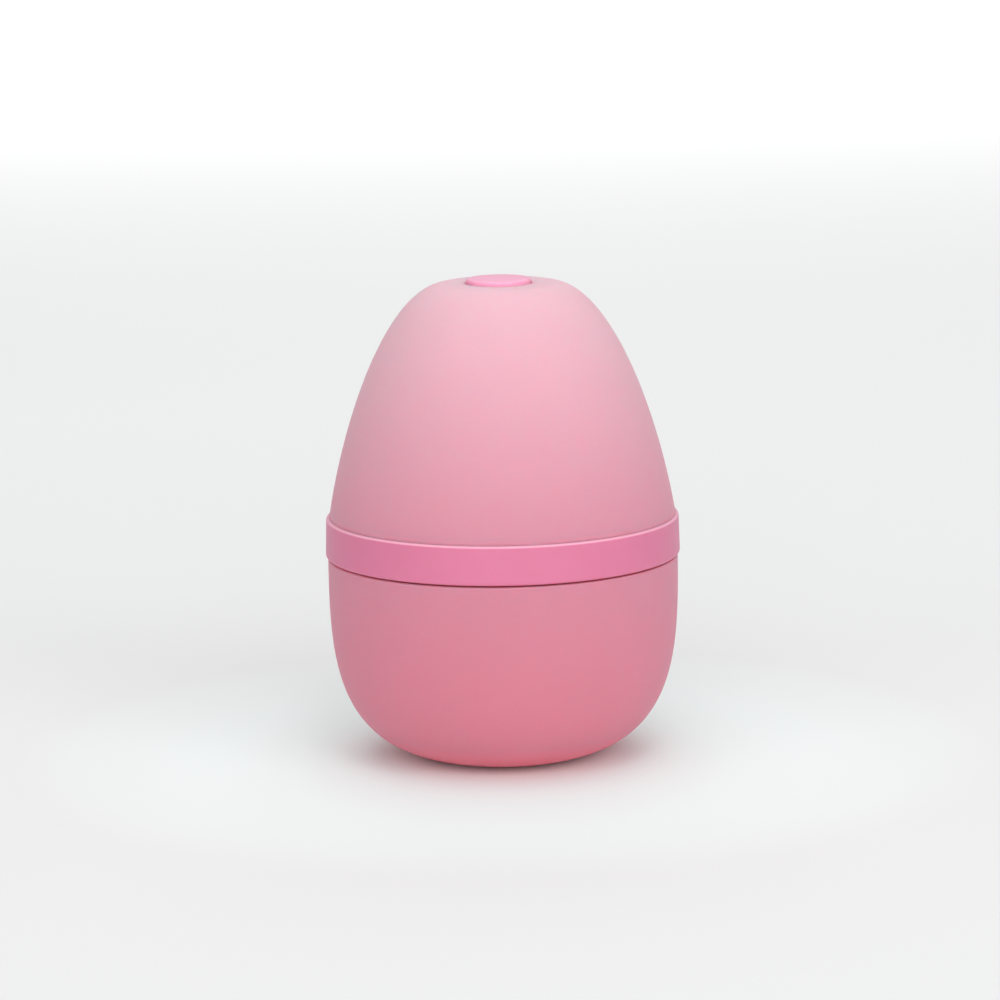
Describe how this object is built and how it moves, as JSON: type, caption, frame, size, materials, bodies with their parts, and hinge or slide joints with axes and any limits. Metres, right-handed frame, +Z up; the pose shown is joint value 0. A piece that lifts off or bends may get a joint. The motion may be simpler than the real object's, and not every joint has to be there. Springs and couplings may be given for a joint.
{
  "type": "silicone cupping cup",
  "caption": "Egg-shaped silicone squeeze cup with a firm mouth band and a push-button release valve in its crown, standing mouth down in its own round storage bowl.",
  "frame": {"origin": "middle of the storage bowl's flat underside", "axes": "+Z up along the egg's axis, from the bowl to the release button"},
  "size_m": [0.068, 0.068, 0.0926],
  "materials": {
    "silicone": "matte pale pink silicone",
    "firm_pink": "satin moulded, darker pink",
    "valve_plastic": "natural off-white",
    "seal_rubber": "matte grey",
    "steel": "bright stainless"
  },
  "bodies": {
    "bowl": {"storage_bowl": "silicone"},
    "cup": {"bell": "silicone", "rim_band": "firm_pink", "valve_body": "valve_plastic", "clamp_washer": "valve_plastic", "clamp_nut": "valve_plastic", "return_spring": "steel"},
    "button": {"release_button": "firm_pink", "valve_stem": "steel", "sealing_disc": "seal_rubber", "backing_washer": "steel", "stem_clip": "steel"}
  },
  "joints": [
    {"name": "cup_lift", "type": "slide", "parent": "bowl", "child": "cup", "axis": [0, 0, 1], "range_m": [0, 0.06]},
    {"name": "button_press", "type": "slide", "parent": "cup", "child": "button", "axis": [0, 0, -1], "range_m": [0, 0.0012], "stiffness_N_per_m": 1000, "springref_m": -0.0015, "deforming": ["return_spring"]}
  ]
}
